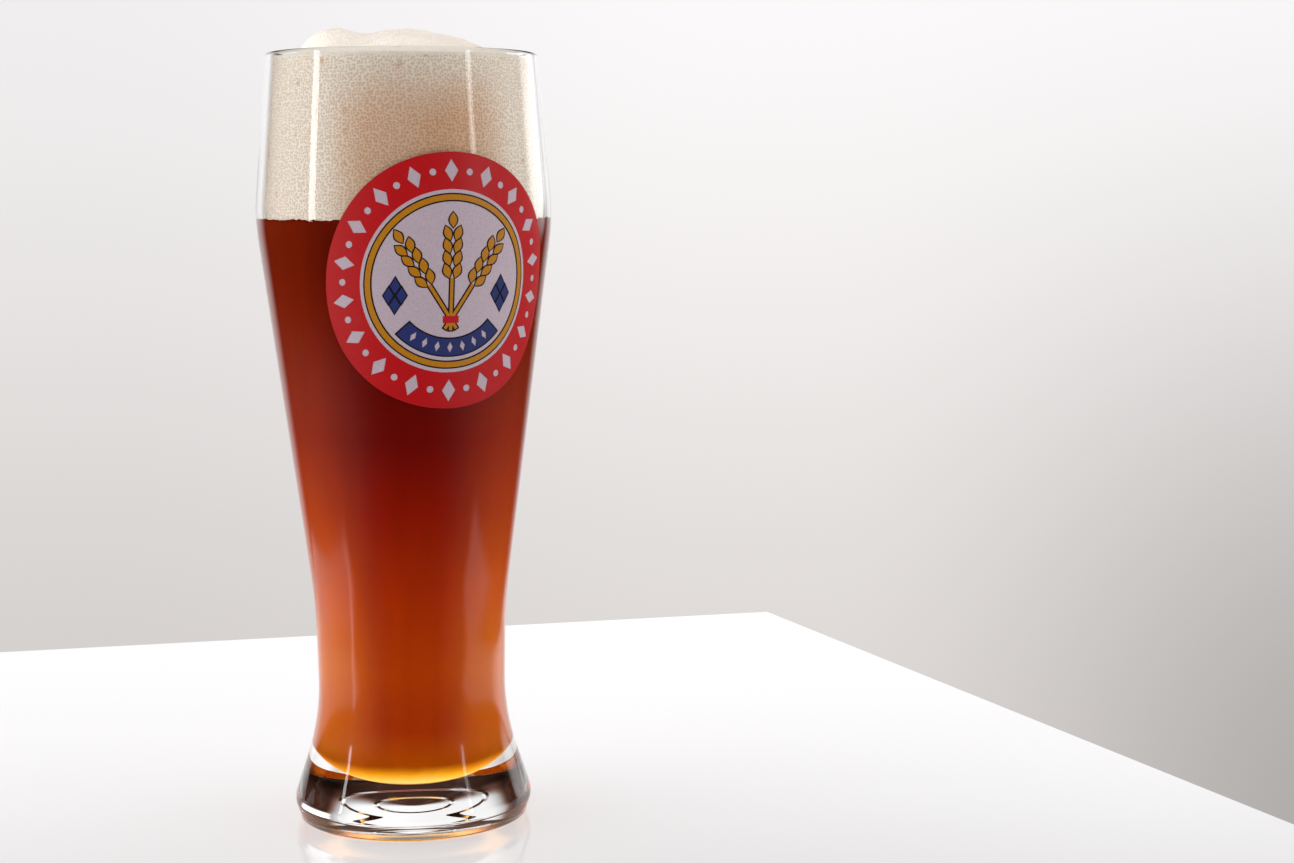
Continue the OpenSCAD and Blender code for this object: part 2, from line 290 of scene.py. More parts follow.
class Graph:
    """A node tree, with short ways to add and link the nodes that the finishes use."""

    def __init__(self, tree: NodeTree) -> None:
        """Keeps the tree that the nodes go into."""
        self.tree = tree

    def fill(self, node: Node, **inputs: object) -> Node:
        """Sets or links a node's inputs.

        Args:
            node: The node.
            **inputs: Values or sockets by name, with _ for a space, or in0, in1 by place.

        Returns:
            The same node.
        """
        for name, value in inputs.items():
            by_place = name.startswith("in") and name[2:].isdigit()
            socket = node.inputs[int(name[2:]) if by_place else name.replace("_", " ")]
            if isinstance(value, NodeSocket):
                self.tree.links.new(value, socket)
            else:
                socket.default_value = (*value, 1) if socket.type == "RGBA" else value
        return node

    def add(self, kind: str, settings: dict | None = None, **inputs: object) -> Node:
        """Adds a node.

        Args:
            kind: The node's type, without the words that all of them start with.
            settings: Values of the node's own properties.
            **inputs: Its inputs, as in fill.

        Returns:
            The new node.
        """
        node = self.tree.nodes.new(f"ShaderNode{kind}")
        for name, value in (settings or {}).items():
            setattr(node, name, value)
        return self.fill(node, **inputs)

    def place(self, tree: NodeTree, **inputs: object) -> Sequence[NodeSocket]:
        """Places a node group, with its inputs as in fill, and gives its outputs."""
        return self.add("Group", {"node_tree": tree}, **inputs).outputs

    def math(self, operation: str, first: object, *others: object) -> NodeSocket:
        """Takes an operation of one value, or of the result so far and each further value.

        Args:
            operation: The name of the operation.
            first: The first value or socket.
            *others: The further values or sockets.

        Returns:
            The result's socket.
        """
        for further in [{"in1": other} for other in others] or [{}]:
            first = self.add("Math", {"operation": operation}, in0=first, **further).outputs[0]
        return first

    def times(self, *values: object) -> NodeSocket:
        """The product of values or sockets."""
        return self.math("MULTIPLY", *values)

    def most(self, *values: object) -> NodeSocket:
        """The greatest of values or sockets."""
        return self.math("MAXIMUM", *values)

    def vector(self, operation: str, first: NodeSocket, **second: object) -> NodeSocket:
        """Takes an operation of a vector and, where it has one, a second vector as in1 or a Scale."""
        result = "Value" if operation in ("DISTANCE", "DOT_PRODUCT") else "Vector"
        return self.add("VectorMath", {"operation": operation}, in0=first, **second).outputs[result]

    def axes(self, vector: NodeSocket) -> Sequence[NodeSocket]:
        """The three parts of a vector."""
        return self.add("SeparateXYZ", None, in0=vector).outputs

    def coords(self, kind: str) -> NodeSocket:
        """Texture coordinates by their name, in metres where they are the object's own places."""
        return self.add("TexCoord").outputs[kind]

    def squash(self, places: NodeSocket, share: float) -> NodeSocket:
        """Places with only a share of their height."""
        return self.add("Mapping", None, Vector=places, Scale=(1, 1, share)).outputs[0]

    def noise(self, places: NodeSocket, scale: object, detail: float, **inputs: object) -> NodeSocket:
        """A noise's value at places, with any further inputs by name."""
        return self.add("TexNoise", None, Vector=places, Scale=scale, Detail=detail, **inputs).outputs[0]

    def red(self, colour: NodeSocket) -> NodeSocket:
        """The red part of a colour, which serves as a random value for each cell."""
        return self.add("SeparateColor", None, in0=colour).outputs[0]

    def ramp(self, fac: NodeSocket, stops: Stops) -> NodeSocket:
        """Looks up a colour ramp.

        Args:
            fac: The socket that is looked up.
            stops: Places from 0 to 1, each with its colour.

        Returns:
            The colour's socket.
        """
        node = self.add("ValToRGB", None, in0=fac)
        elements = node.color_ramp.elements
        for _ in stops[2:]:
            elements.new(0.5)
        for element, (place, colour) in zip(elements, stops):
            element.position = place
            element.color = (*colour, 1)
        return node.outputs[0]

    def mix(self, fac: object, first: object, second: object, blend: str = "MIX") -> NodeSocket:
        """Mixes two colours or their sockets by the second one's share."""
        settings = {"data_type": "RGBA", "blend_type": blend}
        return self.add("Mix", settings, in0=fac, in6=first, in7=second).outputs[2]

    def span(self, value: NodeSocket, given: Range, made: Range = (0, 1), unit: float = 1) -> NodeSocket:
        """Maps a given range, in its unit, smoothly onto another."""
        ends = dict(From_Min=given[0] * unit, From_Max=given[1] * unit, To_Min=made[0], To_Max=made[1])
        return self.add("MapRange", {"interpolation_type": "SMOOTHSTEP"}, Value=value, **ends).outputs[0]


class Surface(Graph):
    """A material with a Principled shader."""

    def __init__(self, name: str) -> None:
        """Starts the material.

        Args:
            name: The material's name.
        """
        self.material = bpy.data.materials.new(name)
        self.material.use_nodes = True
        super().__init__(self.material.node_tree)

    def done(self, **inputs: object) -> Material:
        """Fills the shader's inputs, as in fill, and gives the material."""
        self.fill(self.tree.nodes["Principled BSDF"], **inputs)
        return self.material


class Effect(Graph):
    """A node group that takes places and values, and puts out values that change over the surface."""

    def __init__(self, name: str, **values: float) -> None:
        """Starts the group.

        Args:
            name: The group's name.
            **values: The names of its values, with what they start at.
        """
        super().__init__(bpy.data.node_groups.new(name, "ShaderNodeTree"))
        self.tree.interface.new_socket("Vector", in_out="INPUT", socket_type="NodeSocketVector")
        for label, value in values.items():
            self.value(label, "INPUT").default_value = value
        self.given = self.tree.nodes.new("NodeGroupInput").outputs

    def value(self, label: str, way: str) -> bpy.types.NodeTreeInterfaceSocket:
        """Makes a socket for a value."""
        return self.tree.interface.new_socket(label, in_out=way, socket_type="NodeSocketFloat")

    def done(self, **outputs: NodeSocket) -> NodeTree:
        """Makes and links the outputs.

        Args:
            **outputs: The outputs' names, with the sockets that feed them.

        Returns:
            The group's tree.
        """
        for label in outputs:
            self.value(label, "OUTPUT")
        self.fill(self.tree.nodes.new("NodeGroupOutput"), **outputs)
        return self.tree


@dataclass(frozen=True)
class Smudges:
    """Breath, dust and finger marks, as a mask."""

    detail: float = 6.0
    roughness: float = 0.6
    fine_factor: float = 9.0
    fine_detail: float = 3.0
    patches: Range = (0.5, 0.72)
    grains: Range = (0.42, 0.68)

    @cache
    def tree(self) -> NodeTree:
        """Builds the group once.

        Returns:
            The group's tree.
        """
        graph = Effect("smudges", Scale=40.0, Amount=1.0)
        places, scale, amount = graph.given[:3]
        cloud = graph.noise(places, scale, self.detail, Roughness=self.roughness)
        fine = graph.noise(places, graph.times(scale, self.fine_factor), self.fine_detail)
        mask = graph.times(graph.span(cloud, self.patches), graph.span(fine, self.grains), amount)
        return graph.done(Mask=mask)


@dataclass(frozen=True)
class BubbleCells:
    """Close bubbles: how near a place is to a bubble's wall, and a bump height."""

    randomness: float = 0.72
    sizes: Range = (0.8, 1.15)
    wall: Range = (0.14, 0.5)
    cap: Range = (0.0, 0.7)

    @cache
    def tree(self) -> NodeTree:
        """Builds the group once.

        Returns:
            The group's tree.
        """
        graph = Effect("bubble_cells", Scale=900.0)
        places, scale = graph.given[:2]
        cells = graph.add("TexVoronoi", {"feature": "F1", "voronoi_dimensions": "2D"}, Vector=places,
                          Scale=scale, Randomness=self.randomness).outputs
        far = graph.times(cells["Distance"], graph.span(graph.red(cells["Color"]), (0.0, 1.0), self.sizes))
        return graph.done(Wall=graph.span(far, self.wall), Height=graph.span(far, self.cap, FALL))


@dataclass(frozen=True)
class ClearGlass:
    """Polished soda-lime glass with faint smudges, finger marks, a haze and the wave of a mould."""

    tint: Colour = (0.985, 0.995, 0.99)
    ior: float = 1.52
    smudge_scale: float = 55.0
    smudge_amount: float = 0.7
    smudge_roughness: float = 0.06
    wave: float = 0.06
    wave_scale: float = 70.0
    wave_squash: float = 0.25
    prints: tuple[tuple[float, float, float, float], ...] = ((-6.5, -33, 11, 3.2), (14, -30, 14, 4.2))
    print_stretch: float = 1.5
    print_core_share: float = 0.6
    print_roughness: float = 0.22
    print_scale: float = 600.0
    haze: float = 0.12
    haze_from: Range = (15.0, 27.0)
    haze_to: Range = (120.0, 172.0)

    def build(self) -> Material:
        """Makes the material.

        Returns:
            The material.
        """
        graph = Surface("clear_glass")
        places = graph.coords("Object")
        marks = graph.place(Smudges().tree(), Vector=places, Scale=self.smudge_scale,
                            Amount=self.smudge_amount)
        wave = graph.noise(graph.squash(places, self.wave_squash), self.wave_scale, detail=1.0)
        bump = graph.add("Bump", None, Strength=1.0, Distance=self.wave * MM, Height=wave).outputs[0]
        up = graph.axes(places)[2]
        haze = graph.times(graph.span(up, self.haze_from, (0.0, self.haze), MM),
                           graph.span(up, self.haze_to, FALL, MM))
        rough = graph.math("ADD", haze, graph.times(marks["Mask"], self.smudge_roughness))
        grain = graph.noise(places, self.print_scale, detail=2.0)
        squeezed = graph.squash(places, 1 / self.print_stretch)
        for x, y, z, radius in self.prints:
            far = graph.vector("DISTANCE", squeezed, in1=(x * MM, y * MM, z * MM / self.print_stretch))
            edge = (radius * self.print_core_share, radius)
            mark = graph.span(far, edge, (self.print_roughness, 0.0), MM)
            rough = graph.math("ADD", rough, graph.times(mark, grain))
        return graph.done(Base_Color=self.tint, Roughness=rough, Normal=bump, IOR=self.ior,
                          Transmission_Weight=1.0)


@dataclass(frozen=True)
class DarkBeer:
    """Cloudy dark wheat beer, maroon under the foam, with painted light (amber towards the bottom, lighter
    sides, a glow at the bottom) and a painted dark underside.
    """

    # Painted light: golden and amber towards the bottom and a lighter band near the waist, for light coming
    # through the thinner beer, under a maroon top.
    front_stops: Stops = (
        (0.0, (0.98, 0.62, 0.20)),
        (0.03, (0.95, 0.40, 0.01)),
        (0.055, (0.61, 0.10, 0.0)),
        (0.12, (0.48, 0.042, 0.0)),
        (0.22, (0.53, 0.058, 0.0)),
        (0.36, (0.45, 0.032, 0.0)),
        (0.5, (0.30, 0.008, 0.0)),
        (0.63, (0.18, 0.001, 0.0)),
        (0.85, (0.155, 0.004, 0.0)),
        (1.0, (0.12, 0.005, 0.001)),
    )
    # Painted light: lighter and more orange, for the sides where light comes through the thin edge.
    side_light_stops: Stops = (
        (0.0, (0.70, 0.36, 0.09)),
        (0.05, (0.64, 0.15, 0.003)),
        (0.12, (0.74, 0.15, 0.001)),
        (0.22, (0.80, 0.20, 0.008)),
        (0.36, (0.70, 0.12, 0.006)),
        (0.5, (0.48, 0.055, 0.003)),
        (0.63, (0.34, 0.024, 0.002)),
        (0.85, (0.22, 0.014, 0.001)),
        (1.0, (0.19, 0.014, 0.002)),
    )
    # Painted shade: the dark brown of faces that look down.
    under: Colour = (0.04, 0.010, 0.004)
    under_rise: Range = (-0.97, -0.86)
    # Painted light: a glow in the beer's own colour at its bottom, which is no lamp.
    glow: float = 1.15
    glow_shares: Range = (0.004, 0.06)
    glow_rise: Range = (-0.95, -0.85)
    streak_scale: float = 170.0
    streak_stretch: float = 0.12
    streak_tones: Range = (0.95, 1.05)
    sides: Range = (0.3, 0.95)
    cloud_scale: float = 28.0
    cloud_bend: float = 0.8
    drift: float = 0.05
    roughness: float = 0.4
    ior: float = 1.345

    def build(self, low: float, high: float) -> Material:
        """Makes the material.

        Args:
            low: The beer's lowest level in millimetres.
            high: The beer's highest level in millimetres.

        Returns:
            The material.
        """
        graph = Surface("beer")
        places = graph.coords("Object")
        height = graph.axes(places)[2]
        share = graph.add("MapRange", None, Value=height, From_Min=low * MM, From_Max=high * MM).outputs[0]
        cloud = graph.noise(places, self.cloud_scale, detail=4.0, Distortion=self.cloud_bend)
        drifted = graph.math("ADD", share, graph.times(graph.math("SUBTRACT", cloud, 0.5), self.drift))
        across, _, up = graph.axes(graph.coords("Normal"))
        # Painted light: faces that point to the sides take the lighter side ramp.
        side_light_share = graph.span(graph.math("ABSOLUTE", across), self.sides)
        front, side = (graph.ramp(drifted, stops) for stops in (self.front_stops, self.side_light_stops))
        wall = graph.mix(side_light_share, front, side)
        streaks = graph.noise(graph.squash(places, self.streak_stretch), self.streak_scale, detail=3.0)
        wall = graph.mix(1.0, wall, graph.span(streaks, NOISE, self.streak_tones), "MULTIPLY")
        # Painted shade: faces that look down turn dark brown.
        colour = graph.mix(graph.span(up, self.under_rise, FALL), wall, self.under)
        # Painted light: the bottom of the beer glows.
        glow = graph.times(graph.span(share, self.glow_shares, (self.glow, 0.0)),
                           graph.span(up, self.glow_rise))
        return graph.done(Base_Color=colour, Emission_Color=wall, Emission_Strength=glow,
                          Roughness=self.roughness, IOR=self.ior, Specular_IOR_Level=0.0)


@dataclass(frozen=True)
class Foam:
    """Close, cream coloured foam with a bubble about every millimetre and a few wide ones, and painted shade
    in tan on its front and inside the wide bubbles.
    """

    wall_colour: Colour = (0.98, 0.91, 0.81)
    # Painted shade: tan on the foam's front and inside the wide bubbles.
    foam_shade_colour: Colour = (0.80, 0.50, 0.31)
    shade_turn: float = 8.0
    shade_near: Range = (0.72, 0.99)
    shade_fade_z: Range = (198.0, 221.0)
    bubble_shade: Colour = (0.80, 0.69, 0.58)
    cell_scale: float = 1200.0
    wall_r: float = 38.5
    bend_scale: float = 110.0
    bend: float = 3.0
    patch_scale: float = 35.0
    patch_tones: Range = (0.75, 1.1)
    top_from: float = 0.3
    top_even: float = 0.85
    wide_scale: float = 130.0
    wide_from: float = 0.55
    wide_r: float = 0.16
    wide_edge: Range = (0.6, 1.0)
    wide_depth: float = 0.55
    least_r: float = 0.001
    bump: float = 0.3
    bump_strength: float = 0.5
    roughness: float = 0.55

    def build(self) -> Material:
        """Makes the material.

        Returns:
            The material.
        """
        graph = Surface("foam")
        places = graph.coords("Object")
        across, depth, up = graph.axes(places)
        turned = graph.math("ARCTAN2", across, graph.times(depth, -1.0))
        on_wall = graph.add("CombineXYZ", None, X=graph.times(turned, self.wall_r * MM), Y=up).outputs[0]
        on_top = graph.math("GREATER_THAN", graph.axes(graph.coords("Normal"))[2], self.top_from)
        laid = graph.add("Mix", {"data_type": "VECTOR"}, in0=on_top, in4=on_wall, in5=places).outputs[1]
        drift = graph.add("TexNoise", None, Vector=places, Scale=self.bend_scale, Detail=1.0).outputs["Color"]
        centred = graph.vector("SUBTRACT", drift, in1=(0.5, 0.5, 0.5))
        laid = graph.vector("ADD", laid, in1=graph.vector("SCALE", centred, Scale=self.bend * MM))
        cells = graph.place(BubbleCells().tree(), Vector=laid, Scale=self.cell_scale)
        # Painted shade: tan on the part that faces the front, fading out towards the top.
        turn = math.radians(self.shade_turn)
        level_way = graph.vector("NORMALIZE", graph.squash(places, 0.0))
        near = graph.vector("DOT_PRODUCT", level_way, in1=(math.sin(turn), -math.cos(turn), 0))
        uneven = graph.span(graph.noise(places, self.patch_scale, detail=3.0), NOISE, self.patch_tones)
        tan = graph.times(graph.span(near, self.shade_near), graph.span(up, self.shade_fade_z, FALL, MM), uneven)
        wall = graph.mix(tan, self.wall_colour, self.foam_shade_colour)
        # Painted shade: the insides of the wide bubbles are darkened with the tan.
        wide = graph.add("TexVoronoi", {"voronoi_dimensions": "2D"}, Vector=laid,
                         Scale=self.wide_scale).outputs
        wide_r = graph.span(graph.red(wide["Color"]), (self.wide_from, 1.0), (0.0, self.wide_r))
        ring = graph.math("DIVIDE", wide["Distance"], graph.most(wide_r, self.least_r))
        wall = graph.mix(graph.span(ring, self.wide_edge, (self.wide_depth, 0.0)), wall, self.foam_shade_colour)
        bubble = graph.mix(1.0, wall, self.bubble_shade, "MULTIPLY")
        closed = graph.most(cells["Wall"], graph.times(on_top, self.top_even))
        bump = graph.add("Bump", {"invert": True}, Strength=self.bump_strength, Distance=self.bump * MM,
                         Height=cells["Height"]).outputs[0]
        return graph.done(Base_Color=graph.mix(closed, bubble, wall), Normal=bump, Roughness=self.roughness)


# Painted shade: the inks are written at the darker level that the decal's shade gives them, the white as a
# light grey.
INK_COLOURS: dict[Coat, Colour] = {
    Coat.WHITE: (0.315, 0.26, 0.30),
    Coat.RED: (0.31, 0.001, 0.003),
    Coat.BLACK: (0.007, 0.006, 0.008),
    Coat.GOLD: (0.30, 0.12, 0.002),
    Coat.BLUE: (0.015, 0.022, 0.10),
}


@dataclass(frozen=True)
class Ink:
    """Fired ceramic ink: even, a little grained and half glossy."""

    coat: Coat
    tones: Range = (0.9, 1.06)
    grain: float = 0.03
    grain_scale: float = 2600.0
    grain_strength: float = 0.15
    roughness: float = 0.32
    smudge_scale: float = 120.0
    smudge_roughness: float = 0.2
    specular: float = 0.2

    def build(self) -> Material:
        """Makes the material.

        Returns:
            The material.
        """
        graph = Surface(self.coat.value)
        places = graph.coords("Object")
        marks = graph.place(Smudges().tree(), Vector=places, Scale=self.smudge_scale, Amount=1.0)
        grain = graph.noise(places, self.grain_scale, detail=2.0)
        colour = graph.mix(1.0, INK_COLOURS[self.coat], graph.span(grain, NOISE, self.tones), "MULTIPLY")
        rough = graph.math("ADD", self.roughness, graph.times(marks["Mask"], self.smudge_roughness))
        bump = graph.add("Bump", None, Strength=self.grain_strength, Distance=self.grain * MM,
                         Height=grain).outputs[0]
        return graph.done(Base_Color=colour, Roughness=rough, Normal=bump, Specular_IOR_Level=self.specular)


# Pieces


@dataclass
class GlassShape:
    """The glass's own outlines, in diameters, heights and roundings in millimetres."""

    rim_d: float = 76.7
    belly_d: float = 84.7
    belly_z: float = 174.0
    belly_round: float = 62.0
    waist_d: float = 55.3
    waist_z: float = 63.5
    waist_round: float = 160.0
    flare_d: float = 53.7
    flare_z: float = 29.5
    flare_round: float = 68.0
    foot_d: float = 68.7
    foot_z: float = 6.6
    foot_round: float = 13.0
    heel_z: float = 4.6
    heel_round: float = 3.0
    contact_d: float = 65.6
    contact_round: float = 0.5
    rim_wall: float = 2.0
    lip_round: float = 0.9
    belly_wall: float = 2.2
    waist_wall: float = 3.2
    flare_wall: float = 3.4
    floor_d: float = 28.0
    floor_z: float = 9.8
    floor_dip: float = 0.5
    floor_round: float = 20.0
    bowl_d: float = 50.0
    bowl_z: float = 21.0
    bowl_round: float = 14.0
    contact_bore_d: float = 49.4
    punt_slope_w: float = 0.7
    punt_z: float = 1.5
    punt_mid_z: float = 0.45
    punt_round: float = 0.3
    outer_ring_d: float = 28.0
    inner_ring_d: float = 14.8
    mould_ring_w: float = 1.2
    mould_ring_h: float = 0.22
    mould_ring_round: float = 0.3
    rim_z: float = field(default_factory=lambda: level("glass"))

    def __post_init__(self) -> None:
        """Works out the punt's radius, the outside and the inside once."""
        self.punt_r = self.contact_bore_d / 2 - self.punt_slope_w
        self.outside = Outline(self._outer_corners()).points()
        self.inside = Outline(self._inner_corners()).points()

    def _outer_corners(self) -> tuple[Corner, ...]:
        """Corners from the contact ring up the outside to the rim."""
        return (
            Corner(self.contact_d / 2, 0, self.contact_round),
            Corner(self.foot_d / 2, self.heel_z, self.heel_round),
            Corner(self.foot_d / 2, self.foot_z, self.foot_round),
            Corner(self.flare_d / 2, self.flare_z, self.flare_round),
            Corner(self.waist_d / 2, self.waist_z, self.waist_round),
            Corner(self.belly_d / 2, self.belly_z, self.belly_round),
            Corner(self.rim_d / 2, self.rim_z, self.lip_round),
        )

    def _inner_corners(self) -> tuple[Corner, ...]:
        """Corners from the middle of the floor up the inside to the rim."""
        return (
            Corner(0, self.floor_z - self.floor_dip),
            Corner(self.floor_d / 2, self.floor_z, self.floor_round),
            Corner(self.bowl_d / 2, self.bowl_z, self.bowl_round),
            Corner(self.flare_d / 2 - self.flare_wall, self.flare_z, self.flare_round + self.flare_wall),
            Corner(self.waist_d / 2 - self.waist_wall, self.waist_z, self.waist_round + self.waist_wall),
            Corner(self.belly_d / 2 - self.belly_wall, self.belly_z, self.belly_round - self.belly_wall),
            Corner(self.rim_d / 2 - self.rim_wall, self.rim_z, self.lip_round),
        )

    def _mould_ring(self, radius: float) -> list[Corner]:
        """Draws a mould ring on the punt's roof.

        Args:
            radius: The ring's radius.

        Returns:
            Its three corners.
        """
        corners = []
        for side in (-1, 0, 1):
            at = radius + side * self.mould_ring_w / 2
            roof = self.punt_mid_z + (self.punt_z - self.punt_mid_z) * at / self.punt_r
            corners.append(Corner(at, roof - (0 if side else self.mould_ring_h), self.mould_ring_round))
        return corners

    def _under_corners(self) -> tuple[Corner, ...]:
        """Corners from the middle of the punt out to the contact ring."""
        return (
            Corner(0, self.punt_mid_z),
            *self._mould_ring(self.inner_ring_d / 2),
            *self._mould_ring(self.outer_ring_d / 2),
            Corner(self.punt_r, self.punt_z, self.punt_round),
            Corner(self.contact_bore_d / 2, 0, self.contact_round),
        )

    def section(self) -> list[Point]:
        """The whole section, from the punt's middle round to the floor's middle."""
        corners = (*self._under_corners(), *self._outer_corners(), *reversed(self._inner_corners()))
        return Outline(corners).points()


@dataclass
class Vessel:
    """The glass itself, one thick-footed piece."""

    shape: GlassShape
    turns: int = 320
    step: float = 1.5

    def build(self) -> Object:
        """Builds and dresses the glass."""
        piece = lathe("weizen_glass", finely(self.shape.section(), self.step), self.turns)
        return dress(piece, ClearGlass().build(), "glass")


@dataclass
class Beer:
    """The beer, whose side lies a hair inside the wall so that no air shows between them."""

    shape: GlassShape
    sink: float = 0.07
    ragged: float = 0.45
    ragged_pitch: float = 1.3
    ragged_depth: float = 2.5
    fine_share: float = 0.5
    fine_factor: float = 5.0
    turns: int = 512
    step: float = 1.5

    def build(self) -> Object:
        """Builds and dresses the beer.

        Returns:
            The piece.
        """
        top = level("beer")
        floor = self.shape.inside[0][1]
        side = [(r + self.sink, z) for r, z in between(self.shape.inside, floor, top)]
        rising = [(r, z - self.sink) for r, z in side[1:]]
        line = [(0.0, floor - self.sink), *rising, (0.0, top - self.ragged)]

        def shift(x: float, y: float, z: float) -> Place:
            """Frays the beer's upper edge where the foam's bubbles sit in it.

            Args:
                x: The vertex's place across.
                y: Its place in depth.
                z: Its height.

            Returns:
                Its new place.
            """
            place = Vector((x, y, z))
            near = max(0.0, 1 - (top - z) / self.ragged_depth) if x or y else 0.0
            coarse = place / self.ragged_pitch
            fray = noise.noise(coarse) + self.fine_share * noise.noise(coarse / self.fine_factor)
            place.z += self.ragged * near * (fray - 1)
            return tuple(place)

        piece = lathe("dark_beer", finely(line, self.step), self.turns, shift)
        return dress(piece, DarkBeer().build(floor, top), "beer")


@dataclass(frozen=True)
class Lump:
    """One lump of the foam's crown: its place, its radius and the height of its top over the rim."""

    x: float
    y: float
    radius: float
    top: float
    cap_share: float = 0.98
    fall: float = 3.0

    def height_at(self, x: float, y: float) -> float:
        """The height of the lump's cap, falling away past its edge.

        Args:
            x: The place across.
            y: The place in depth.

        Returns:
            The height over the rim.
        """
        off = math.hypot(x - self.x, y - self.y)
        if off < self.radius * self.cap_share:
            return self.top - self.radius + math.sqrt(self.radius**2 - off**2)
        return self.top - self.radius - self.fall * (off - self.radius)


@dataclass
class FoamHead:
    """The head of foam, from the beer to a lumped crown above the rim."""

    shape: GlassShape
    air: float = 0.1
    wall_gap: float = 1.5
    seat_dip: float = 1.5
    side_step: float = 1.0
    crown_h: float = 8.6
    crown_r: float = 31.0
    mid_share: float = 0.64
    side_share: float = 0.32
    side_r_share: float = 2 / 3
    edge_rise: float = 2.2
    edge_share: float = 0.25
    fade_share: float = 0.08
    blend: float = 1.6
    blend_drop_share: float = 0.4
    relief: tuple[Point, ...] = ((0.4, 7.0), (0.14, 2.2), (0.05, 0.8))
    turns: int = 400
    rings: int = 90
    lump_shares: tuple[tuple[float, float, float, float], ...] = (
        (-0.6, 0.13, 0.37, 1.0),
        (-0.03, 0.13, 0.68, 0.95),
        (0.29, 0.13, 0.61, 0.79),
        (0.62, 0.2, 0.34, 0.33),
        (0.0, 0.5, 0.48, 0.64),
        (0.05, -0.5, 0.46, 0.64),
    )
    domes: int = 90
    dome_radii: Range = (0.5, 1.6)
    dome_sizes: Range = (0.5, 1.0)
    dome_reach_share: float = 1.1
    dome_share: float = 0.35
    seed: int = 7

    def __post_init__(self) -> None:
        """Works out the lumps and the bubbles that stand out of them."""
        r, h = self.crown_r, self.crown_h
        self.lumps = [Lump(x * r, y * r, size * r, top * h) for x, y, size, top in self.lump_shares]
        draw = random.Random(self.seed)
        self.bubbles = []
        for _ in range(self.domes):
            angle = draw.uniform(0, math.tau)
            far = r * math.sqrt(draw.random()) * self.dome_reach_share
            size = draw.uniform(*self.dome_radii) * draw.uniform(*self.dome_sizes)
            self.bubbles.append((far * math.cos(angle), far * math.sin(angle), size))

    def crown_at(self, x: float, y: float) -> float:
        """The height of the crown over the rim.

        Args:
            x: The place across.
            y: The place in depth.

        Returns:
            The height in millimetres.
        """
        r = math.hypot(x, y)
        inward = 1 - r / (radius_at(self.shape.inside, self.shape.rim_z - self.wall_gap) - self.air)
        base = self.edge_rise * self.smooth(inward / self.edge_share) - self.wall_gap
        heights = [base, self.between_lumps(r), *[lump.height_at(x, y) for lump in self.lumps]]
        top = max(heights)
        total = sum(math.exp((height - top) / self.blend) for height in heights)
        height = top + self.blend * (math.log(total) - math.log(len(heights)) * self.blend_drop_share)
        place = Vector((x, y, 0))
        relief = sum(high * noise.noise(place / pitch) for high, pitch in self.relief)
        fade = self.smooth(inward / self.fade_share)
        for bubble_x, bubble_y, size in self.bubbles:
            off = math.hypot(x - bubble_x, y - bubble_y)
            if off < size:
                height += fade * self.dome_share * math.sqrt(size**2 - off**2)
        return base + fade * (height - base + relief)

    def between_lumps(self, radius: float) -> float:
        """The height of the foam that lies between the lumps.

        Args:
            radius: The radius at which it is wanted.

        Returns:
            The height over the rim.
        """
        side_r = self.crown_r * self.side_r_share
        middle, side = self.mid_share * self.crown_h, self.side_share * self.crown_h
        if radius < side_r:
            return middle + (side - middle) * radius / side_r
        return side - (side + self.wall_gap) * (radius - side_r) / (self.crown_r - side_r)

    @staticmethod
    def smooth(value: float) -> float:
        """A smooth step from 0 at 0 to 1 at 1."""
        share = min(1.0, max(0.0, value))
        return share * share * (3 - 2 * share)

    def build(self) -> Object:
        """Builds and dresses the foam.

        Returns:
            The piece.
        """
        top = self.shape.rim_z
        low = level("beer") - self.seat_dip
        side = [(r - self.air, z) for r, z in between(self.shape.inside, low, top - self.wall_gap)]
        crown = [(side[-1][0] * (1 - i / self.rings), top) for i in range(1, self.rings + 1)]
        line = [(0.0, low), *finely(side, self.side_step), *crown]

        def shift(x: float, y: float, z: float) -> Place:
            """Lifts the crown's rows to their height."""
            return (x, y, z if z < top else top + self.crown_at(x, y))

        piece = lathe("foam_crown", line, self.turns, shift)
        return dress(piece, Foam().build(), "foam_head")


Shapes = list[list[Point]]
Named = tuple[Face, set[str]]


